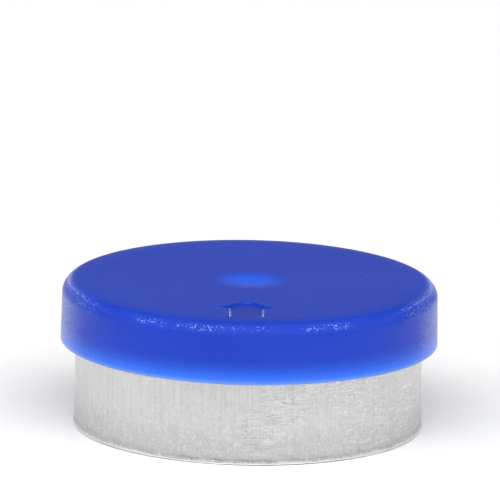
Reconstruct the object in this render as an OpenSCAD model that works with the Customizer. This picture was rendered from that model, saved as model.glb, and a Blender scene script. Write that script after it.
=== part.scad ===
// Flip-off vial seal, 20 mm size, as supplied before crimping.
//
// A thin aluminium shell carries a moulded flip button. The middle of the
// shell's top is a tear tab, held only by small bridges and riveted to the
// button, so lifting the button's front edge pulls the tab out and opens a
// round window over the vial's stopper.
//
// Frame: millimetres, +Z up. The origin is the centre of the skirt's open
// rim. The flip arrow is on the -Y side, and the button tips up about its
// own far edge on the +Y side.

/* [Shell] */
// Inside diameter of the skirt, which takes the crimp finish of the vial
skirt_id = 20; // [18:0.1:24]
// Height of the shell from the open rim to its top face
shell_height = 7.3; // [6:0.1:10]
// Thickness of the aluminium
wall = 0.2; // [0.15:0.01:0.25]
// Outside radius of the shoulder between the skirt and the top face
shoulder_r = 1.2; // [0.4:0.05:1.5]

/* [Tear tab] */
// Diameter of the window that the torn-out tab leaves
window_d = 12.72; // [11:0.02:14]
// Width of the cut between the tab and the shell
slit = 0.12; // [0.11:0.01:0.2]
// Number of bridges across the cut
bridges = 8; // [4:1:12]
// Width of one bridge
bridge_w = 0.8; // [0.5:0.05:1.2]
// How far a bridge reaches in from the edge of the window
bridge_reach = 0.78; // [0.4:0.02:1.2]
// Angle of the bridge that the score line starts from
score_angle = 264; // [240:1:300]

/* [Score line] */
// Width of the score line inside the shell
score_w = 0.16; // [0.1:0.01:0.3]
// Depth of the score line in the aluminium
score_depth = 0.08; // [0.04:0.01:0.1]
// How far the score line runs down the skirt from the top face
score_drop = 2.6; // [1.2:0.1:4]

/* [Button] */
// Thickness of the button's plate over the shell
plate_t = 1.35; // [0.8:0.05:2]
// How far the button's rim comes down over the shell's top face
rim_drop = 2.25; // [1.2:0.05:3.5]
// Thickness of the button's rim
rim_t = 0.7; // [0.5:0.05:1.2]
// Gap between the skirt and the rim around it
side_gap = 0.2; // [0.15:0.05:0.5]
// Gap between the shell's top face and the plate over it
top_gap = 0.05; // [0.02:0.01:0.1]
// Radius of the button's top edge
edge_r = 0.85; // [0.2:0.05:1]
// Diameter of the shallow dimple in the middle of the button
dimple_d = 4.2; // [2:0.1:6]
// Depth of that dimple
dimple_depth = 0.15; // [0.05:0.05:0.5]

/* [Rivet] */
// Diameter of the hollow rivet where it goes through the tab
rivet_d = 3.8; // [3:0.1:5]
// Diameter of the rivet's head under the tab
head_d = 6.6; // [5.6:0.1:8]
// Thickness of the head at its outer edge
head_edge_t = 0.16; // [0.1:0.02:0.2]
// Thickness of the head around its pit
head_t = 0.42; // [0.3:0.02:0.6]
// Diameter of the pit in the head
pit_d = 2.6; // [1.6:0.1:2.8]
// Depth of the pit from the head's face
pit_depth = 1.1; // [0.5:0.1:1.2]

/* [Flip arrow] */
// Length of the arrow, whose point is towards the middle of the button
arrow_l = 3.5; // [2.5:0.1:3.6]
// Width across the arrow's head
arrow_head_w = 3.4; // [2.2:0.1:4]
// Length of the arrow's head
arrow_head_l = 1.45; // [0.8:0.05:2]
// Width of the arrow's shaft
arrow_shaft_w = 1.9; // [1:0.1:2]
// Distance of the arrow's point from the middle of the button
arrow_from_centre = 5.7; // [4:0.1:6.1]
// Depth of the arrow in the button's face
arrow_depth = 0.12; // [0.05:0.01:0.2]

/* [Hidden] */

$fn = 180;

skirt_ir = skirt_id / 2;
skirt_or = skirt_ir + wall;
inner_shoulder_r = shoulder_r - wall;
top_z = shell_height;
ceiling_z = top_z - wall;
window_r = window_d / 2;
tab_r = window_r - slit;
bridge_tip_r = window_r - bridge_reach;

rim_ir = skirt_or + side_gap;
button_r = rim_ir + rim_t;
rim_z = top_z - rim_drop;
plate_z = top_z + top_gap;
button_z = plate_z + plate_t;
rivet_r = rivet_d / 2;
head_r = head_d / 2;
pit_r = pit_d / 2;
// The boss fills the gap over the tab, inside the bridges
boss_r = bridge_tip_r - 2 * slit;
// A circle through the dimple's rim and its lowest point
dish_r = (pow(dimple_d / 2, 2) + pow(dimple_depth, 2)) / (2 * dimple_depth);

// Overshoot of every cut past the face that it opens
over = 0.5;

// Half outline of a can of radius r and height h, with a rounded top corner
module can_outline(r, h, corner) {
    square([r - corner, h]);
    square([r, h - corner]);
    translate([r - corner, h - corner]) circle(corner);
}

// Half outline of the space inside a can, open at the bottom
module cavity_outline(r, h, corner) {
    can_outline(r, h, corner);
    translate([0, -over]) square([r, over + h - corner]);
}

// A radial bar of width w from radius r1 to radius r2, at the angle a
module radial_bar(a, w, r1, r2, z1, z2) {
    rotate([0, 0, a])
        translate([r1, -w / 2, z1])
            cube([r2 - r1, w, z2 - z1]);
}

// One bar of width w for every bridge
module at_bridges(w, r1, r2, z1, z2) {
    for (i = [0 : bridges - 1])
        radial_bar(score_angle + i * 360 / bridges, w, r1, r2, z1, z2);
}

// The score line: a shallow groove across the underside of the top face,
// round the shoulder and down the inside of the skirt
module score_line() {
    groove_angle = score_angle - asin((bridge_w - score_w) / 2 / bridge_tip_r);
    groove_z = top_z - score_drop;
    intersection() {
        rotate_extrude()
            difference() {
                can_outline(skirt_ir + score_depth, ceiling_z + score_depth, inner_shoulder_r);
                square([bridge_tip_r, top_z]);
                square([skirt_ir - inner_shoulder_r, ceiling_z - inner_shoulder_r]);
            }
        radial_bar(groove_angle, score_w, bridge_tip_r, skirt_or, groove_z, top_z);
    }
}

module aluminium_shell() {
    color([0.80, 0.80, 0.81])
        difference() {
            union() {
                rotate_extrude()
                    difference() {
                        can_outline(skirt_or, top_z, shoulder_r);
                        cavity_outline(skirt_ir, ceiling_z, inner_shoulder_r);
                        translate([0, -over]) square([window_r, top_z + 2 * over]);
                    }
                at_bridges(bridge_w, bridge_tip_r, window_r + wall, ceiling_z, top_z);
            }
            score_line();
        }
}

module tear_tab() {
    color([0.86, 0.86, 0.87])
        difference() {
            translate([0, 0, ceiling_z]) cylinder(r = tab_r, h = wall);
            translate([0, 0, ceiling_z - over]) cylinder(r = rivet_r, h = wall + 2 * over);
            at_bridges(bridge_w + 2 * slit, bridge_tip_r - slit, window_r, ceiling_z - over, top_z + over);
        }
}

// Flat outline of the flip arrow, its point at the origin and its shaft
// running towards -Y
module arrow_outline() {
    polygon([
        [0, 0],
        [-arrow_head_w / 2, -arrow_head_l],
        [-arrow_shaft_w / 2, -arrow_head_l],
        [-arrow_shaft_w / 2, -arrow_l],
        [arrow_shaft_w / 2, -arrow_l],
        [arrow_shaft_w / 2, -arrow_head_l],
        [arrow_head_w / 2, -arrow_head_l]
    ]);
}

// The button's plate and rim, with the dimple in its top face
module cap() {
    rotate_extrude()
        difference() {
            translate([0, rim_z]) can_outline(button_r, button_z - rim_z, edge_r);
            translate([0, rim_z - over]) square([rim_ir, plate_z - rim_z + over]);
            translate([0, button_z - dimple_depth + dish_r]) circle(dish_r);
        }
}

// The boss over the tab, the rivet through it and the head under it
module rivet() {
    translate([0, 0, top_z]) cylinder(r = boss_r, h = top_gap + plate_t / 2);
    translate([0, 0, ceiling_z - head_edge_t]) cylinder(r = rivet_r, h = wall + plate_t / 2);
    translate([0, 0, ceiling_z - head_edge_t]) cylinder(r = head_r, h = head_edge_t);
    translate([0, 0, ceiling_z - head_t])
        cylinder(r1 = rivet_r, r2 = head_r, h = head_t - head_edge_t);
}

module flip_button() {
    color([0.16, 0.29, 0.82])
        difference() {
            union() {
                cap();
                rivet();
            }
            translate([0, 0, ceiling_z - head_t - over]) cylinder(r = pit_r, h = pit_depth + over);
            translate([0, -arrow_from_centre, button_z - arrow_depth])
                linear_extrude(arrow_depth + over) arrow_outline();
        }
}

aluminium_shell();
tear_tab();
flip_button();
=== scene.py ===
import math

import bmesh
import bpy
import numpy as np
from mathutils import Matrix, Vector

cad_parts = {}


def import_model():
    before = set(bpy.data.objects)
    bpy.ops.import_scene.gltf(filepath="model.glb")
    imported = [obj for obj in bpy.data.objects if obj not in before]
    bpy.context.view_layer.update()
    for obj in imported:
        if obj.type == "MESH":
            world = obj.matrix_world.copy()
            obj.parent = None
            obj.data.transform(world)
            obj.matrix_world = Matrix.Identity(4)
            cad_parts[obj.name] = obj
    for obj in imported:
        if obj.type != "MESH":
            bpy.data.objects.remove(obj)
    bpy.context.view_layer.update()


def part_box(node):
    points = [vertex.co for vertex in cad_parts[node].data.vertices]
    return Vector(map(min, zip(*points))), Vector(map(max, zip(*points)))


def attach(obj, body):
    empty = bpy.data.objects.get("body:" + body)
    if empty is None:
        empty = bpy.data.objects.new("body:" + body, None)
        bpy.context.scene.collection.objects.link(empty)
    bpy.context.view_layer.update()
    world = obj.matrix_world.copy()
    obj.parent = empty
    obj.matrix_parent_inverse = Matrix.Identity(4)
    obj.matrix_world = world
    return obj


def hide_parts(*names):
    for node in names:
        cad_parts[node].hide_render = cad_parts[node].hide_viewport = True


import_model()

MM = 0.001  # lengths below are in millimetres, and meshes are made in metres


# ---------------------------------------------------------------- sizes

def corners_mm(node):
    """Lowest and highest corner of a CAD node, in millimetres."""
    low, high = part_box(node)
    return [c / MM for c in low], [c / MM for c in high]


shell_low, shell_high = corners_mm("aluminium_shell")
tab_low, tab_high = corners_mm("tear_tab")
button_low, button_high = corners_mm("flip_button")

# Shell and tab
SKIRT_R = shell_high[0]             # outside of the skirt
SHELL_TOP = shell_high[2]
WALL = tab_high[2] - tab_low[2]     # thickness of the aluminium
CEILING = SHELL_TOP - WALL          # underside of the shell's top face
SHOULDER_R = 1.2                    # outside radius of the shoulder
CAD_SLIT = 0.12                     # the CAD tab is this much smaller than its window
WINDOW_R = tab_high[0] + CAD_SLIT
SLIT = 0.03                         # what shows of the cut round the tab

# Button
BUTTON_R = button_high[0]
BUTTON_TOP = button_high[2]
RIM_BOTTOM = button_low[2]
TOP_GAP = 0.05                      # between the shell's top face and the plate over it
PLATE_BOTTOM = SHELL_TOP + TOP_GAP
RIM_THICKNESS = 0.7
RIM_INNER_R = BUTTON_R - RIM_THICKNESS
EDGE_R = 0.85                       # the button's top edge
CROWN_R = 9.3                       # the top face is flat out to here, and then falls away
CROWN_TILT = 7                      # its slope in degrees where the top edge's round begins
DRAFT = 0.05                        # how much less the button's radius is at its top
CORNER_R = 0.03                     # the outer corner of the rim's lower edge
DIMPLE_R = 2.1
DIMPLE_DEPTH = 0.15

# Rivet
RIVET_R = 1.9
BOSS_R = 5.3                        # the button touches the tab out to here
HEAD_R = 3.3
HEAD_CREST_R = 2.35                 # where the head is thickest
HEAD_HEIGHT = 0.42
HEAD_EDGE = 0.16                    # thickness of the head at its outer edge
PIT_R = 1.15
PIT_DEPTH = 1.1

# Bridges and score line
BRIDGES = 8
SCORE_BRIDGE = math.radians(264)    # the bridge that the score line starts from
BRIDGE_REACH = 0.82
BRIDGE_BASE = 0.44                  # half width of a bridge at the window's edge
BRIDGE_TIP = 0.22                   # half width at its tip
SCORE_INSET = 0.1                   # how far in it starts from that bridge's clockwise side
SCORE_A = SCORE_BRIDGE - (BRIDGE_BASE - SCORE_INSET) / WINDOW_R
SCORE_DROP = 2.6                    # how far the score line runs down the skirt
SCORE_HALF_W = 0.09
SCORE_DEPTH = 0.06
SCORE_BOTTOM = CEILING - SCORE_DROP

# Flip arrow
ARROW_POINT_X = -0.17
ARROW_POINT_Y = -5.7
ARROW_DEPTH = 0.12
ARROW_WALL = 0.13                   # width of the slope down into the arrow
ARROW_HEAD_HALF_W = 1.7
ARROW_HEAD_L = 1.42
ARROW_SHAFT_HALF_W = 0.95
ARROW_L = 3.5


# ---------------------------------------------------------------- colours

FOIL_GREY = (0.595, 0.588, 0.575)
FOIL_PALE = (0.685, 0.678, 0.663)
FOIL_PAINTED_SHADE = (0.40, 0.397, 0.39)
INSIDE_GREY = (0.60, 0.595, 0.602)
INSIDE_PALE = (0.70, 0.695, 0.702)
INSIDE_DULL = (0.55, 0.54, 0.56)
SCORE_SHADOW = (0.40, 0.40, 0.40)
SCORE_SHINE = (0.95, 0.95, 0.95)
TRIMMED_EDGE = (0.90, 0.90, 0.89)
TAB_GREY = (0.66, 0.655, 0.66)
TAB_PALE = (0.80, 0.795, 0.80)
TAB_BRIGHT = (0.86, 0.855, 0.86)

BLUE = (0.004, 0.036, 0.43)
BLUE_CLOUD = (0.005, 0.041, 0.46)
BLUE_PAINTED_GLOW_OVER_PIT = (0.005, 0.092, 0.77)
BLUE_ARROW_PAINTED_SHADE = (0.004, 0.026, 0.33)
BLUE_PAINTED_GLOW_LOW = (0.020, 0.115, 0.70)
BLUE_PAINTED_GLOW_ABOVE_LIP = (0.028, 0.150, 0.80)
BLUE_LIP_PAINTED_GLOW = (0.17, 0.31, 0.66)
BLUE_HEAD_PAINTED_HIGHLIGHT = (0.012, 0.11, 0.72)
BLUE_PAINTED_GLINT = (0.25, 0.36, 0.80)
BLUE_SCRAPES_AND_SHEEN = (0.33, 0.40, 0.80)
BLUE_SCUFFS_AND_GLINTS = (0.40, 0.46, 0.82)

FLOOR_GREY = (0.9, 0.9, 0.9)


# ---------------------------------------------------------------- outlines and meshes

def line(zone, start, end, step):
    """Points of a straight stretch of outline, without its last one, as (zone, r, z)."""
    count = max(1, round(math.dist(start, end) / step))
    return [(zone, start[0] + (end[0] - start[0]) * i / count, start[1] + (end[1] - start[1]) * i / count)
            for i in range(count)]


def arc(zone, centre, radius, start, end, count):
    """Points of a round stretch of outline, from one angle in degrees to another, without its last one."""
    points = []
    for i in range(count):
        a = math.radians(start + (end - start) * i / count)
        points.append((zone, centre[0] + radius * math.cos(a), centre[1] + radius * math.sin(a)))
    return points


def angles_with(dense, coarse_step, fine_step):
    """Angles once round, finer within each (middle, half width) of dense. All are in degrees."""
    found = []
    a = 0.0
    while a < 360 - fine_step / 2:
        found.append(a)
        near = any(abs((a - middle + 180) % 360 - 180) < half for middle, half in dense)
        a += fine_step if near else coarse_step
    return np.radians(found)


def grid_faces(rings, count, ring_closed):
    """Quads between neighbouring rings of count points. ring_closed joins the last ring to the first one."""
    faces = []
    for ring in range(rings if ring_closed else rings - 1):
        here = ring * count
        there = (ring + 1) % rings * count
        for i in range(count):
            k = (i + 1) % count
            faces.append((here + i, here + k, there + k, there + i))
    return faces


def clean_mesh(mesh, merge):
    """Turns all faces outwards and shades them smooth. merge makes one vertex of each point on the axis."""
    work = bmesh.new()
    work.from_mesh(mesh)
    if merge:
        bmesh.ops.remove_doubles(work, verts=work.verts, dist=1e-9)
    bmesh.ops.recalc_face_normals(work, faces=work.faces)
    work.to_mesh(mesh)
    work.free()
    mesh.polygons.foreach_set("use_smooth", [True] * len(mesh.polygons))


def revolve(name, outline, angles, shape, ring_closed, second_material_zones=()):
    """Mesh swept round Z. shape(zone, r, z, a) returns the r and z of every point after its details.

    Without ring_closed, the outline starts and ends on the axis. Faces of the zones named last get the
    second material."""
    zone = np.array([p[0] for p in outline])
    across_all = np.ones((1, len(angles)))
    r = np.array([p[1] for p in outline])[:, None] * across_all
    z = np.array([p[2] for p in outline])[:, None] * across_all
    a = angles[None, :] * np.ones((len(outline), 1))
    r, z = shape(zone, r, z, a)
    rings, count = r.shape
    xyz = np.stack([r * np.cos(a), r * np.sin(a), z], axis=-1).reshape(-1, 3) * MM
    faces = grid_faces(rings, count, ring_closed)
    mesh = bpy.data.meshes.new(name)
    mesh.from_pydata(xyz.tolist(), [], faces)
    second = np.repeat(np.isin(zone, second_material_zones), count)[:len(faces)]
    mesh.polygons.foreach_set("material_index", second.astype(int).tolist())
    clean_mesh(mesh, merge=not ring_closed)
    made = bpy.data.objects.new(name, mesh)
    bpy.context.collection.objects.link(made)
    return made


def smooth(t):
    """0 to 1 with soft ends, for t from 0 to 1."""
    t = np.clip(t, 0, 1)
    return t * t * (3 - 2 * t)


def waves(a, amount, turns, seed):
    """A closed irregular curve round the axis: a few sine waves of the given numbers of turns."""
    random = np.random.default_rng(seed)
    total = np.zeros_like(a)
    for n in turns:
        total += random.uniform(0.5, 1.0) * np.sin(n * a + random.uniform(0, 2 * math.pi))
    return amount * total / len(turns)


def angle_between(a, middle):
    """How far every angle is from the angle middle, the short way round. All are in radians."""
    return np.abs((a - middle + math.pi) % (2 * math.pi) - math.pi)


# ---------------------------------------------------------------- shell and tab

def bridge_angles():
    """Angles of the bridges' middles, in radians."""
    return [SCORE_BRIDGE + i * 2 * math.pi / BRIDGES for i in range(BRIDGES)]


def bridge_profile(a, grow):
    """How far the bridges reach in from the window's edge at each angle. grow widens them."""
    reach = np.zeros_like(a)
    for middle in bridge_angles():
        away = angle_between(a, middle) * WINDOW_R
        side = (BRIDGE_BASE + grow - away) / (BRIDGE_BASE - BRIDGE_TIP)
        reach = np.maximum(reach, BRIDGE_REACH * smooth(side))
    return reach


def sheet_angles():
    """Angles for the shell and the tab, finer at every bridge."""
    dense = [(math.degrees(m) % 360, 5.5) for m in bridge_angles()]
    return angles_with(dense, coarse_step=0.8, fine_step=0.2)


def shell_outline():
    """Closed outline of the sheet metal: out over the top, down the skirt, back up inside it."""
    inner_r = SKIRT_R - WALL
    corner_r = SKIRT_R - SHOULDER_R             # middle of the shoulder's two rounds
    corner_z = SHELL_TOP - SHOULDER_R
    edge = WALL / 2
    fine_z = 0.6                                # the rings are close together from here down
    points = line("top", (WINDOW_R, SHELL_TOP), (corner_r, SHELL_TOP), 0.22)
    points += arc("shoulder", (corner_r, corner_z), SHOULDER_R, 90, 0, 14)
    points += line("skirt", (SKIRT_R, corner_z), (SKIRT_R, fine_z), 0.25)
    points += line("skirt", (SKIRT_R, fine_z), (SKIRT_R, edge), 0.04)
    points += arc("edge", (SKIRT_R - edge, edge), edge, 0, -180, 6)
    points += line("inside", (inner_r, edge), (inner_r, corner_z), 0.25)
    points += arc("inside", (corner_r, corner_z), SHOULDER_R - WALL, 0, 90, 14)
    points += line("ceiling", (corner_r, CEILING), (WINDOW_R, CEILING), 0.2)
    points += line("cut", (WINDOW_R, CEILING), (WINDOW_R, SHELL_TOP), 0.07)
    return points


def flared(r, z, a):
    """r with the skirt's slight flare, its rolled-out edge and its unevenness."""
    flare_height = 2.4
    low = smooth((flare_height - z) / flare_height)
    flare = 0.04 * low
    rolled_out = 0.02 * smooth((0.4 - z) / 0.25) + 0.025 * smooth((0.17 - z) / 0.1)
    uneven = waves(a, 0.03, [2, 3, 5, 9], seed=3) * low
    draw_marks = waves(a + 0.25 * z, 0.008, [17, 29, 41], seed=4)
    return r + flare + rolled_out + uneven + draw_marks


def score_groove(r, a):
    """1 in the middle of the score line, and a little below 0 in the metal pushed up beside it."""
    across = angle_between(a, SCORE_A) * r
    ridge_at, ridge_half_w, ridge_height = 0.15, 0.07, 0.45
    ridges = ridge_height * smooth(1 - np.abs(across - ridge_at) / ridge_half_w)
    return smooth(1 - across / SCORE_HALF_W) - ridges


def trimmed(r, z, a):
    """r and z with the uneven trimmed edge, which has one small dent."""
    strip = 0.9                                 # height of the part that gives way
    low = smooth((strip - z) / strip)
    coarse = waves(a, 0.03, [4, 7, 13, 31, 53], seed=8)
    fine = waves(a, 0.012, [97, 131, 173], seed=9)
    ragged = np.clip(0.03 + coarse + fine, 0, 0.08)
    dent_at, dent_half_w = math.radians(12), math.radians(4.5)
    dent = smooth(1 - angle_between(a, dent_at) / dent_half_w)
    dent_in, dent_up = 0.14, 0.07
    return r - dent_in * dent * low ** 2, z + ragged * low + dent_up * dent * low


def shape_shell(zone, r, z, a):
    """Bridges, flare, draw marks, score line and the uneven trimmed edge."""
    flat = np.isin(zone, ["top", "ceiling", "cut"])[:, None]
    upright = np.isin(zone, ["skirt", "edge", "inside"])[:, None]
    inside = (zone == "inside")[:, None]
    ceiling = (zone == "ceiling")[:, None]

    still_r = 8.6                               # the rings further out keep their radius
    pull = np.clip((still_r - r) / (still_r - WINDOW_R), 0, 1)
    r = np.where(flat, r - bridge_profile(a, 0) * pull ** 1.5, r)
    r = np.where(upright, flared(r, z, a), r)

    groove = score_groove(r, a)
    lower_end = smooth((z - SCORE_BOTTOM) / 0.5)
    r = np.where(inside, r + SCORE_DEPTH * groove * lower_end, r)
    inner_end = smooth((r - WINDOW_R + BRIDGE_REACH * 0.6) / 0.3)
    z = np.where(ceiling, z + SCORE_DEPTH * groove * inner_end, z)

    trimmed_r, trimmed_z = trimmed(r, z, a)
    return np.where(upright, trimmed_r, r), np.where(upright, trimmed_z, z)


def tab_outline():
    """Closed outline of the tab: out over its top, and back underneath to the rivet."""
    outer = WINDOW_R - SLIT
    round_r = 0.05
    points = line("top", (RIVET_R, SHELL_TOP), (outer - round_r, SHELL_TOP), 0.3)
    points += arc("rim", (outer - round_r, SHELL_TOP - round_r), round_r, 90, 0, 3)
    points += line("rim", (outer, SHELL_TOP - round_r), (outer, CEILING + round_r), 0.05)
    points += arc("rim", (outer - round_r, CEILING + round_r), round_r, 0, -90, 3)
    points += line("under", (outer - round_r, CEILING), (RIVET_R, CEILING), 0.15)
    points += line("bore", (RIVET_R, CEILING), (RIVET_R, SHELL_TOP), 0.07)
    return points


def shape_tab(zone, r, z, a):
    """Notches round the bridges, and the slight warp that riveting leaves outside the rivet's head."""
    still_r = 4.6                               # the rings further in keep their radius
    pull = np.clip((r - still_r) / (WINDOW_R - still_r), 0, 1)
    r = r - bridge_profile(a, SLIT) * pull ** 1.5
    warp = 0.025 + waves(a, 0.03, [2, 3, 5], seed=21)
    crease = waves(a, 0.02, [4, 7], seed=22) * np.sin(2 * (r - HEAD_R))
    return r, z - (warp + crease) * smooth((r - HEAD_R - 0.1) / 1.6)


# ---------------------------------------------------------------- button

def polygon_distance(x, y, corners):
    """Signed distance from every (x, y) to a polygon, negative inside it."""
    best = np.full_like(x, np.inf)
    inside = np.zeros(x.shape, dtype=bool)
    for i, (ax, ay) in enumerate(corners):
        bx, by = corners[i - 1]
        ex, ey = bx - ax, by - ay
        t = np.clip(((x - ax) * ex + (y - ay) * ey) / (ex * ex + ey * ey), 0, 1)
        best = np.minimum(best, np.hypot(x - ax - t * ex, y - ay - t * ey))
        crosses = (ay > y) != (by > y)
        with np.errstate(divide="ignore", invalid="ignore"):
            inside ^= crosses & (x < ax + (y - ay) * ex / ey)
    return np.where(inside, -best, best)


def arrow_outline():
    """Corners of the arrow, with its rounded point at (0, 0). The head's two front edges bend like an S."""
    steps = 16
    barb = 0.2                                  # thickness of the head's two tips
    corners = []
    for i in range(steps + 1):
        x = ARROW_HEAD_HALF_W * (2 * i / steps - 1)
        corners.append((x, -(ARROW_HEAD_L - barb) * smooth(abs(x) / ARROW_HEAD_HALF_W)))
    corners += [(ARROW_HEAD_HALF_W, -ARROW_HEAD_L), (ARROW_SHAFT_HALF_W, -ARROW_HEAD_L)]
    corners += [(ARROW_SHAFT_HALF_W, -ARROW_L), (-ARROW_SHAFT_HALF_W, -ARROW_L)]
    corners += [(-ARROW_SHAFT_HALF_W, -ARROW_HEAD_L), (-ARROW_HEAD_HALF_W, -ARROW_HEAD_L)]
    return corners


def rivet_outline():
    """From the bottom of the rivet's pit, over its head, up through the tab and out to the boss's edge."""
    head_z = CEILING - HEAD_HEIGHT
    pit_z = head_z + PIT_DEPTH
    pit_round = 0.3
    funnel_z = head_z + 0.5                     # the pit widens like a funnel below here
    funnel_r = 1.0
    edge_r = HEAD_EDGE / 2
    clear = 0.002                               # keeps two corners apart that meet in a point
    points = line("pit", (0, pit_z), (PIT_R - pit_round, pit_z), 0.08)
    points += arc("pit", (PIT_R - pit_round, pit_z - pit_round), pit_round, 90, 0, 6)
    points += line("pit", (PIT_R, pit_z - pit_round), (PIT_R, funnel_z), 0.08)
    points += arc("head", (PIT_R + funnel_r, funnel_z), funnel_r, 180, 262, 14)
    points += line("head", (HEAD_CREST_R, head_z), (HEAD_R - edge_r, CEILING - HEAD_EDGE), 0.08)
    points += arc("head", (HEAD_R - edge_r, CEILING - edge_r), edge_r, -90, 0, 5)
    points += line("head", (HEAD_R, CEILING - edge_r), (HEAD_R, CEILING - clear), 0.05)
    points += line("hidden", (HEAD_R - clear, CEILING), (RIVET_R, CEILING), 0.3)
    points += line("hidden", (RIVET_R, CEILING), (RIVET_R, SHELL_TOP), 0.1)
    points += line("hidden", (RIVET_R, SHELL_TOP), (BOSS_R, SHELL_TOP), 0.5)
    points += line("hidden", (BOSS_R, SHELL_TOP), (BOSS_R, PLATE_BOTTOM), 0.05)
    return points


def underside_outline():
    """Out under the plate, down inside the rim and across the rim's lower edge."""
    fillet = 0.25
    lip_r = 0.08
    points = line("under", (BOSS_R, PLATE_BOTTOM), (RIM_INNER_R - fillet, PLATE_BOTTOM), 0.3)
    points += arc("under", (RIM_INNER_R - fillet, PLATE_BOTTOM - fillet), fillet, 90, 0, 5)
    points += line("inner", (RIM_INNER_R, PLATE_BOTTOM - fillet), (RIM_INNER_R, RIM_BOTTOM + lip_r), 0.2)
    points += arc("lip", (RIM_INNER_R + lip_r, RIM_BOTTOM + lip_r), lip_r, 180, 270, 4)
    points += line("lip", (RIM_INNER_R + lip_r, RIM_BOTTOM), (BUTTON_R - CORNER_R, RIM_BOTTOM), 0.04)
    points += arc("lip", (BUTTON_R - CORNER_R, RIM_BOTTOM + CORNER_R), CORNER_R, -90, 0, 3)
    return points


def outside_outline():
    """Up the side, round the top edge, up the crown and in over the flat top to its middle."""
    top_r = BUTTON_R - DRAFT
    tilt = math.radians(CROWN_TILT)
    crown_end = top_r - EDGE_R + EDGE_R * math.sin(tilt)
    crown_radius = (crown_end - CROWN_R) / math.sin(tilt)
    edge_z = BUTTON_TOP - crown_radius * (1 - math.cos(tilt)) - EDGE_R * math.cos(tilt)
    fine_r = -ARROW_POINT_Y - 0.15              # the rings are close together over the arrow
    points = line("side", (BUTTON_R, RIM_BOTTOM + CORNER_R), (top_r, edge_z), 0.2)
    points += arc("round", (top_r - EDGE_R, edge_z), EDGE_R, 0, 90 - CROWN_TILT, 18)
    points += arc("top", (CROWN_R, BUTTON_TOP - crown_radius), crown_radius, 90 - CROWN_TILT, 90, 10)
    points += line("top", (CROWN_R, BUTTON_TOP), (fine_r, BUTTON_TOP), 0.04)
    points += line("top", (fine_r, BUTTON_TOP), (0.0, BUTTON_TOP), 0.2)
    points.append(("top", 0.0, BUTTON_TOP))
    return points


def shape_button(zone, r, z, a):
    """The dimple, the arrow and the flash round the rim's lower edge."""
    top = (zone == "top")[:, None]
    softened_r = DIMPLE_R * 1.15
    dish = DIMPLE_DEPTH * smooth(1 - r / softened_r)
    x, y = r * np.cos(a) - ARROW_POINT_X, r * np.sin(a) - ARROW_POINT_Y
    away = polygon_distance(x, y, arrow_outline())
    arrow = ARROW_DEPTH * smooth(0.5 - away / ARROW_WALL)
    z = np.where(top, z - dish - arrow, z)

    lip = (zone == "lip")[:, None]
    flash_r = BUTTON_R - 0.1 + waves(a, 0.035, [5, 8, 13, 21, 34], seed=12)
    flash_half_w = 0.07
    flash = np.clip(0.03 + waves(a, 0.02, [6, 11, 19, 47], seed=13), 0.005, 0.06)
    z = np.where(lip, z - flash * smooth(1 - np.abs(r - flash_r) / flash_half_w), z)
    return r, z


def button_angles():
    """Angles for the button, finer at the arrow."""
    return angles_with([(270, 19)], coarse_step=1.5, fine_step=0.25)


# ---------------------------------------------------------------- materials

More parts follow.
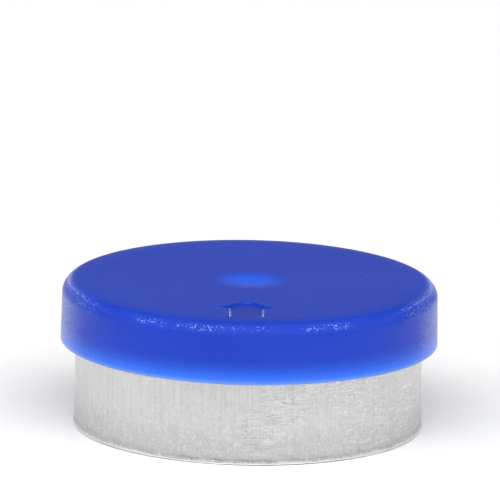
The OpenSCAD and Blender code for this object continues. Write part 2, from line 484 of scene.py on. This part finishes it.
class Paint:
    """A material's node tree, with short ways to add the nodes used below."""

    def __init__(self, name):
        self.material = bpy.data.materials.new(name)
        self.material.use_nodes = True
        self.nodes = self.material.node_tree.nodes
        self.links = self.material.node_tree.links
        self.shader = self.nodes["Principled BSDF"]
        coordinates = self.nodes.new("ShaderNodeTexCoord")
        self.place = coordinates.outputs["Object"]

    def set(self, **values):
        """Sets inputs of the shader, with _ for each space in their names."""
        for key, value in values.items():
            self.shader.inputs[key.replace("_", " ")].default_value = value

    def plug(self, output, socket):
        """Links an output to an input of the shader."""
        self.links.new(output, self.shader.inputs[socket])

    def stretched(self, x, y, z):
        """Object coordinates times so many per millimetre along each axis."""
        node = self.nodes.new("ShaderNodeMapping")
        node.inputs["Scale"].default_value = (x / MM, y / MM, z / MM)
        self.links.new(self.place, node.inputs["Vector"])
        return node.outputs["Vector"]

    def noise(self, vector, detail=3.0, roughness=0.5, distortion=0.0):
        """Soft random blotches about one unit of vector across, mostly from 0.3 to 0.7."""
        node = self.nodes.new("ShaderNodeTexNoise")
        node.inputs["Scale"].default_value = 1.0
        node.inputs["Detail"].default_value = detail
        node.inputs["Roughness"].default_value = roughness
        node.inputs["Distortion"].default_value = distortion
        self.links.new(vector, node.inputs["Vector"])
        return node.outputs["Fac"]

    def spread(self, value, low, high, to_low=0.0, to_high=1.0):
        """value from low to high becomes to_low to to_high, with soft ends. low may be the larger one."""
        node = self.nodes.new("ShaderNodeMapRange")
        node.interpolation_type = "SMOOTHSTEP"
        sockets = ("From Min", "From Max", "To Min", "To Max")
        for socket, number in zip(sockets, (low, high, to_low, to_high)):
            node.inputs[socket].default_value = number
        self.links.new(value, node.inputs["Value"])
        return node.outputs["Result"]

    def math(self, kind, first, second=0):
        """A math node on one or two values, each a number or an output."""
        node = self.nodes.new("ShaderNodeMath")
        node.operation = kind
        for socket, value in zip(node.inputs, (first, second)):
            if isinstance(value, (int, float)):
                socket.default_value = value
            else:
                self.links.new(value, socket)
        return node.outputs["Value"]

    def times(self, *values):
        """The product of two or more values, each a number or an output."""
        product = values[0]
        for value in values[1:]:
            product = self.math("MULTIPLY", product, value)
        return product

    def mix(self, amount, first, second):
        """A colour from first to second, each a colour or an output."""
        node = self.nodes.new("ShaderNodeMix")
        node.data_type = "RGBA"
        for socket, value in zip((node.inputs[0], node.inputs[6], node.inputs[7]), (amount, first, second)):
            if isinstance(value, tuple):
                socket.default_value = (*value, 1.0)
            else:
                self.links.new(value, socket)
        return node.outputs[2]

    def axis(self, name):
        """One coordinate, in millimetres."""
        node = self.nodes.new("ShaderNodeSeparateXYZ")
        self.links.new(self.stretched(1, 1, 1), node.inputs["Vector"])
        return node.outputs[name]

    def contour(self, value, level, half_width):
        """1 along the line where value is level, and 0 beyond half_width to either side."""
        away = self.math("ABSOLUTE", self.math("SUBTRACT", value, level))
        return self.spread(away, 0, half_width, 1, 0)

    def joined(self, x, y, z):
        """A vector of three values."""
        node = self.nodes.new("ShaderNodeCombineXYZ")
        for socket, value in zip(node.inputs, (x, y, z)):
            self.links.new(value, socket)
        return node.outputs["Vector"]

    def across(self, angle):
        """Distance, in millimetres, to the left of the line from the Z axis at an angle in radians."""
        node = self.nodes.new("ShaderNodeVectorMath")
        node.operation = "DOT_PRODUCT"
        self.links.new(self.stretched(1, 1, 1), node.inputs[0])
        node.inputs[1].default_value = (-math.sin(angle), math.cos(angle), 0)
        return node.outputs["Value"]

    def radius(self):
        """Distance from the Z axis, in millimetres."""
        flat = self.nodes.new("ShaderNodeVectorMath")
        flat.operation = "LENGTH"
        self.links.new(self.stretched(1, 1, 0), flat.inputs[0])
        return flat.outputs["Value"]

    def bump(self, layers):
        """Bumps on the shader's normal, from (height, millimetres) pairs."""
        normal = None
        for height, depth in layers:
            node = self.nodes.new("ShaderNodeBump")
            node.inputs["Distance"].default_value = depth * MM
            self.links.new(height, node.inputs["Height"])
            if normal:
                self.links.new(normal, node.inputs["Normal"])
            normal = node.outputs["Normal"]
        self.plug(normal, "Normal")


def foil_outside():
    """Outside of the skirt: satin foil with draw lines, specks, crazing and patches of level wrinkles, with
    painted highlight and painted shade along the wrinkles and crazing, and painted shade low down.
    """
    paint = Paint("foil_outside")
    paint.set(Metallic=1.0)
    height = paint.axis("Z")
    streaks = paint.noise(paint.stretched(6, 6, 0.3), detail=3, roughness=0.6)
    grain = paint.noise(paint.stretched(5, 5, 3.5), detail=3, roughness=0.6)
    cloud = paint.noise(paint.stretched(0.25, 0.25, 0.3), detail=2)
    patches = paint.noise(paint.stretched(0.16, 0.16, 0.12), detail=1)
    wrinkles = paint.noise(paint.stretched(0.75, 0.75, 4.5), detail=2, distortion=0.7)
    crazing = paint.noise(paint.stretched(3.2, 3.2, 2.6), detail=2, distortion=1.2)

    tone = paint.math("ADD", paint.times(streaks, 0.6), paint.times(cloud, 0.4))
    colour = paint.mix(paint.spread(tone, 0.35, 0.65), FOIL_GREY, FOIL_PALE)
    # Painted shade: the foil gets darker towards the skirt's lower edge.
    painted_shade_low = paint.spread(height, 2.6, 0.0, 0, 0.5)
    colour = paint.mix(painted_shade_low, colour, FOIL_PAINTED_SHADE)
    frayed = paint.math("SUBTRACT", height, paint.times(grain, 0.35))
    wrinkled = paint.spread(patches, 0.47, 0.58, 0, 0.8)
    crazed = paint.spread(height, 4.5, 1.5, 0.2, 0.6)
    # Every kind of mark: how strong it is, where it is, and how pale it is. The first four are painted
    # highlight and painted shade on the two sides of each wrinkle and crazing line. The last two are painted
    # shade in a band over the trimmed edge and the bright metal at that edge.
    for amount, mark, shade in [(wrinkled, paint.contour(wrinkles, 0.53, 0.022), 0.86),
                                (wrinkled, paint.contour(wrinkles, 0.46, 0.026), 0.46),
                                (crazed, paint.contour(crazing, 0.53, 0.03), 0.82),
                                (crazed, paint.contour(crazing, 0.45, 0.035), 0.50),
                                (0.45, paint.spread(grain, 0.56, 0.75), 0.85),
                                (0.25, paint.spread(grain, 0.44, 0.3), 0.42),
                                (0.35, paint.contour(height, 0.45, 0.3), 0.42),
                                (0.7, paint.spread(frayed, 0.12, -0.02), 0.93)]:
        colour = paint.mix(paint.times(mark, amount), colour, (shade, shade, shade * 0.99))
    paint.plug(colour, "Base Color")
    paint.plug(paint.spread(paint.math("ADD", grain, cloud), 0.7, 1.3, 0.27, 0.42), "Roughness")
    folds = paint.times(wrinkles, wrinkled)
    paint.bump([(streaks, 0.004), (folds, 0.03), (crazing, 0.010), (grain, 0.006)])
    return paint.material


def foil_inside():
    """Inside and top of the shell: smoother foil, turned marks on the flat faces, and the score line."""
    paint = Paint("foil_inside")
    paint.set(Metallic=1.0)
    height = paint.axis("Z")
    streaks = paint.noise(paint.stretched(4, 4, 0.25), detail=4, roughness=0.6)
    cloud = paint.noise(paint.stretched(0.35, 0.35, 0.3), detail=3)
    turned = paint.joined(paint.times(paint.radius(), 9.0), cloud, cloud)
    rings = paint.noise(turned, detail=3, roughness=0.6)
    flat = paint.spread(height, CEILING - 0.5, CEILING - 0.1)
    upright = paint.math("SUBTRACT", 1.0, flat)
    marks = paint.math("ADD", paint.times(streaks, upright), paint.times(rings, flat))
    colour = paint.mix(paint.spread(marks, 0.35, 0.65), INSIDE_GREY, INSIDE_PALE)
    colour = paint.mix(paint.spread(cloud, 0.35, 0.65, 0, 0.4), colour, INSIDE_DULL)

    scored = paint.times(paint.spread(height, SCORE_BOTTOM - 0.2, SCORE_BOTTOM + 0.5),
                         paint.spread(paint.axis("Y"), 1, -1),
                         paint.spread(height, SHELL_TOP - 0.03, SHELL_TOP - 0.12))
    beside = paint.across(SCORE_A)
    shadow = paint.times(paint.contour(beside, -0.13, 0.07), scored)
    shine = paint.times(paint.contour(beside, 0, SCORE_HALF_W), scored)
    trimmed_edge = paint.spread(height, 0.24, 0.12)
    colour = paint.mix(shadow, colour, SCORE_SHADOW)
    colour = paint.mix(shine, colour, SCORE_SHINE)
    colour = paint.mix(trimmed_edge, colour, TRIMMED_EDGE)
    paint.plug(colour, "Base Color")
    paint.plug(paint.spread(cloud, 0.3, 0.7, 0.22, 0.34), "Roughness")
    paint.bump([(cloud, 0.03), (marks, 0.005)])
    return paint.material


def tab_aluminium():
    """Brushed foil, a little brighter than the shell."""
    paint = Paint("tab_aluminium")
    paint.set(Metallic=1.0)
    brushed = paint.noise(paint.stretched(0.7, 11, 3), detail=5, roughness=0.65, distortion=0.3)
    grain = paint.noise(paint.stretched(8, 8, 8), detail=3)
    dents = paint.noise(paint.stretched(0.5, 0.7, 0.5), detail=2, distortion=0.5)
    colour = paint.mix(paint.spread(brushed, 0.35, 0.65), TAB_GREY, TAB_PALE)
    colour = paint.mix(paint.spread(dents, 0.4, 0.65, 0, 0.3), colour, TAB_BRIGHT)
    paint.plug(colour, "Base Color")
    paint.plug(paint.spread(brushed, 0.3, 0.7, 0.25, 0.38), "Roughness")
    paint.bump([(dents, 0.06), (brushed, 0.006), (grain, 0.003)])
    return paint.material


def blue_with_painted_light(paint, height, radius, head):
    """Solid blue, with painted glow over the rivet's pit and towards and along the rim's lower edge, painted
    shade on the arrow's floor and a painted highlight on the rivet head's outer slope.
    """
    cloud = paint.noise(paint.stretched(0.22, 0.22, 0.3), detail=2)
    colour = paint.mix(paint.spread(cloud, 0.3, 0.7), BLUE, BLUE_CLOUD)
    # Painted glow: lighter blue over the rivet's pit.
    painted_glow_over_pit = paint.times(paint.spread(radius, 2.5, 0.6),
                           paint.spread(height, PLATE_BOTTOM, BUTTON_TOP - 0.4))
    colour = paint.mix(painted_glow_over_pit, colour, BLUE_PAINTED_GLOW_OVER_PIT)
    # Painted shade on the arrow's recessed floor.
    arrow_painted_shade = paint.times(paint.spread(height, BUTTON_TOP - 0.03, BUTTON_TOP - 0.09, 0, 0.6),
                              paint.contour(radius, -ARROW_POINT_Y + ARROW_L / 2, ARROW_L),
                              paint.spread(radius, CROWN_R + 0.05, CROWN_R - 0.05))
    colour = paint.mix(arrow_painted_shade, colour, BLUE_ARROW_PAINTED_SHADE)
    # Painted glow: the side gets paler towards the rim's lower edge.
    painted_glow_low = paint.spread(height, RIM_BOTTOM + 1.5, RIM_BOTTOM + 0.1)
    colour = paint.mix(painted_glow_low, colour, BLUE_PAINTED_GLOW_LOW)
    painted_glow_above_lip = paint.spread(height, RIM_BOTTOM + 0.75, RIM_BOTTOM + 0.1)
    colour = paint.mix(painted_glow_above_lip, colour, BLUE_PAINTED_GLOW_ABOVE_LIP)
    # Painted glow along the outside of the rim's lower edge.
    lip = paint.times(paint.spread(height, RIM_BOTTOM + 0.32, RIM_BOTTOM - 0.1),
                      paint.spread(radius, BUTTON_R - 0.2, BUTTON_R - 0.05))
    colour = paint.mix(lip, colour, BLUE_LIP_PAINTED_GLOW)
    # Painted highlight: a lighter band on the rivet head's outer slope.
    head_slope_highlight = paint.times(head, paint.spread(radius, HEAD_CREST_R - 0.6, HEAD_CREST_R + 0.2))
    return paint.mix(head_slope_highlight, colour, BLUE_HEAD_PAINTED_HIGHLIGHT)


def blue_polypropylene():
    """Blue plastic with painted glints in worn patches along its top edge, and scuffs, scrapes, painted
    glints and painted sheen most of all at the button's two ends along X.
    """
    paint = Paint("blue_polypropylene")
    paint.set(Specular_IOR_Level=0.25, IOR=1.49)
    grain = paint.noise(paint.stretched(6, 6, 6), detail=4, roughness=0.6)
    scuffs = paint.noise(paint.stretched(9, 9, 9), detail=2, roughness=0.5)
    scrapes = paint.noise(paint.stretched(6, 6, 2.2), detail=4, roughness=0.65)
    patches = paint.noise(paint.stretched(0.4, 0.4, 0.4), detail=2)
    height = paint.axis("Z")
    radius = paint.radius()
    sideways = paint.math("ABSOLUTE", paint.axis("X"))

    # Masks, each 1 in its own place and 0 elsewhere
    head = paint.times(paint.spread(radius, HEAD_R + 1, HEAD_R), paint.spread(height, SHELL_TOP, CEILING))
    edge = paint.times(paint.spread(radius, BUTTON_R - 0.9, BUTTON_R - 0.4),
                       paint.spread(height, BUTTON_TOP - 1.0, BUTTON_TOP - 0.5))
    far_out = paint.spread(sideways, 7.5, 11)
    in_patches = paint.spread(patches, 0.46, 0.62)
    worn_edge = paint.times(edge, paint.math("MAXIMUM", in_patches, far_out))
    edge_at_ends = paint.times(edge, paint.spread(sideways, 8.6, 10.2))
    ends = paint.times(paint.spread(sideways, 9.6, 11),
                       paint.spread(radius, BUTTON_R - 1.0, BUTTON_R - 0.6))
    glint_ends_and_corners = paint.math("MAXIMUM", ends, edge_at_ends)
    # Painted glints: pale specks along the line where the round's highlight falls, in worn patches, moved
    # inwards towards the ends.
    crest_r = paint.math("ADD", radius, paint.times(far_out, 0.3))
    crest = paint.times(paint.contour(crest_r, BUTTON_R - 0.24, 0.2), worn_edge)

    painted_glints = paint.times(crest, paint.spread(scuffs, 0.54, 0.66))
    # Pale scrapes and painted sheen at the button's two ends along X.
    scrapes_and_sheen = paint.times(ends, paint.spread(scrapes, 0.35, 0.75, 0, 0.12))
    # Scuffs and painted glints at the two ends along X and on the top edge's corners there.
    scuffs_and_glints = paint.times(glint_ends_and_corners, paint.spread(scuffs, 0.49, 0.6, 0, 0.38))
    colour = blue_with_painted_light(paint, height, radius, head)
    colour = paint.mix(painted_glints, colour, BLUE_PAINTED_GLINT)
    colour = paint.mix(scrapes_and_sheen, colour, BLUE_SCRAPES_AND_SHEEN)
    colour = paint.mix(scuffs_and_glints, colour, BLUE_SCUFFS_AND_GLINTS)
    paint.plug(colour, "Base Color")

    dull = paint.times(edge, paint.spread(sideways, 7.5, 10.5, 0.38, 0.12))
    roughness = paint.math("ADD", paint.spread(grain, 0.3, 0.7, 0.22, 0.34), dull)
    glossy = paint.times(head, 0.12)
    paint.plug(paint.math("SUBTRACT", roughness, glossy), "Roughness")
    paint.bump([(grain, 0.003), (paint.times(scuffs, worn_edge), 0.02),
                (paint.times(scrapes, ends), 0.012), (paint.times(scuffs, ends), 0.006)])
    return paint.material


# ---------------------------------------------------------------- pieces

def piece(made, materials, body, node):
    """Finishes a piece, which stands for a CAD node and rides on its body."""
    for material in materials:
        made.data.materials.append(material)
    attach(made, body)
    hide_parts(node)


def shell():
    """The aluminium skirt, shoulder and ring-shaped top, with the stubs of the bridges."""
    two_materials = [foil_outside(), foil_inside()]
    made = revolve("shell", shell_outline(), sheet_angles(), shape_shell, ring_closed=True,
                   second_material_zones=("inside", "ceiling", "cut", "top"))
    piece(made, two_materials, "shell", "aluminium_shell")


def tab():
    """The round middle of the top, which stays under the button."""
    made = revolve("tab", tab_outline(), sheet_angles(), shape_tab, ring_closed=True)
    piece(made, [tab_aluminium()], "button", "tear_tab")


def button():
    """The blue disc and its rivet, in one piece."""
    outline = rivet_outline() + underside_outline() + outside_outline()
    made = revolve("button", outline, button_angles(), shape_button, ring_closed=False)
    piece(made, [blue_polypropylene()], "button", "flip_button")


# ---------------------------------------------------------------- stage

def floor():
    """A plain pale floor, large enough to have no edge in view."""
    mesh = bpy.data.meshes.new("floor")
    half = 6.0
    corners = [(-half, -half, 0), (half, -half, 0), (half, half, 0), (-half, half, 0)]
    mesh.from_pydata(corners, [], [(0, 1, 2, 3)])
    made = bpy.data.objects.new("floor", mesh)
    made.location.z = shell_low[2] * MM
    bpy.context.collection.objects.link(made)
    paint = Paint("pale_floor")
    paint.set(Base_Color=(*FLOOR_GREY, 1), Roughness=0.9, Specular_IOR_Level=0.1)
    made.data.materials.append(paint.material)


def soft_light(name, azimuth, elevation, distance, size, radiance):
    """A rectangular area light aimed at the origin, with its lengths in metres.

    Azimuth 0 is on the arrow's side, and 90 on the +X side."""
    light = bpy.data.lights.new(name, "AREA")
    light.shape = "RECTANGLE"
    light.size, light.size_y = size
    light.energy = radiance * math.pi * size[0] * size[1]
    made = bpy.data.objects.new(name, light)
    a, e = math.radians(azimuth), math.radians(elevation)
    direction = Vector((math.sin(a) * math.cos(e), -math.cos(a) * math.cos(e), math.sin(e)))
    made.location = direction * distance
    made.rotation_euler = direction.to_track_quat("Z", "Y").to_euler()
    bpy.context.collection.objects.link(made)


def world(strength):
    """An even white surrounding."""
    made = bpy.data.worlds.new("studio")
    made.use_nodes = True
    background = made.node_tree.nodes["Background"]
    background.inputs["Color"].default_value = (1, 1, 1, 1)
    background.inputs["Strength"].default_value = strength
    bpy.context.scene.world = made


def camera():
    """A long lens, almost without perspective, from a little above and rolled slightly."""
    elevation = math.radians(13.4)
    roll = math.radians(1.15)
    distance = 0.8
    view_width = 29.39 * MM
    data = bpy.data.cameras.new("camera")
    data.sensor_width = 36
    data.lens = data.sensor_width * distance / view_width
    made = bpy.data.objects.new("camera", data)
    aim = Vector((-0.05 * MM, 0, 10.48 * MM))
    towards = Vector((0, -math.cos(elevation), math.sin(elevation)))
    turn = towards.to_track_quat("Z", "Y").to_matrix() @ Matrix.Rotation(roll, 3, "Z")
    made.matrix_world = Matrix.Translation(aim + towards * distance) @ turn.to_4x4()
    bpy.context.collection.objects.link(made)
    bpy.context.scene.camera = made


# ---------------------------------------------------------------- scene

shell()
tab()
button()

camera()
floor()
world(strength=0.22)
soft_light("key", azimuth=0, elevation=54, distance=1.8, size=(3.6, 2.0), radiance=2.8)
soft_light("left", azimuth=-80, elevation=25, distance=0.5, size=(0.12, 0.3), radiance=3.0)
soft_light("right", azimuth=80, elevation=25, distance=0.5, size=(0.12, 0.3), radiance=2.0)
soft_light("back_left", azimuth=180 - 13, elevation=4, distance=1.0, size=(0.05, 0.12), radiance=13.0)
soft_light("back_right", azimuth=180 + 13, elevation=4, distance=1.0, size=(0.05, 0.12), radiance=13.0)
bpy.context.scene.view_settings.view_transform = "Standard"
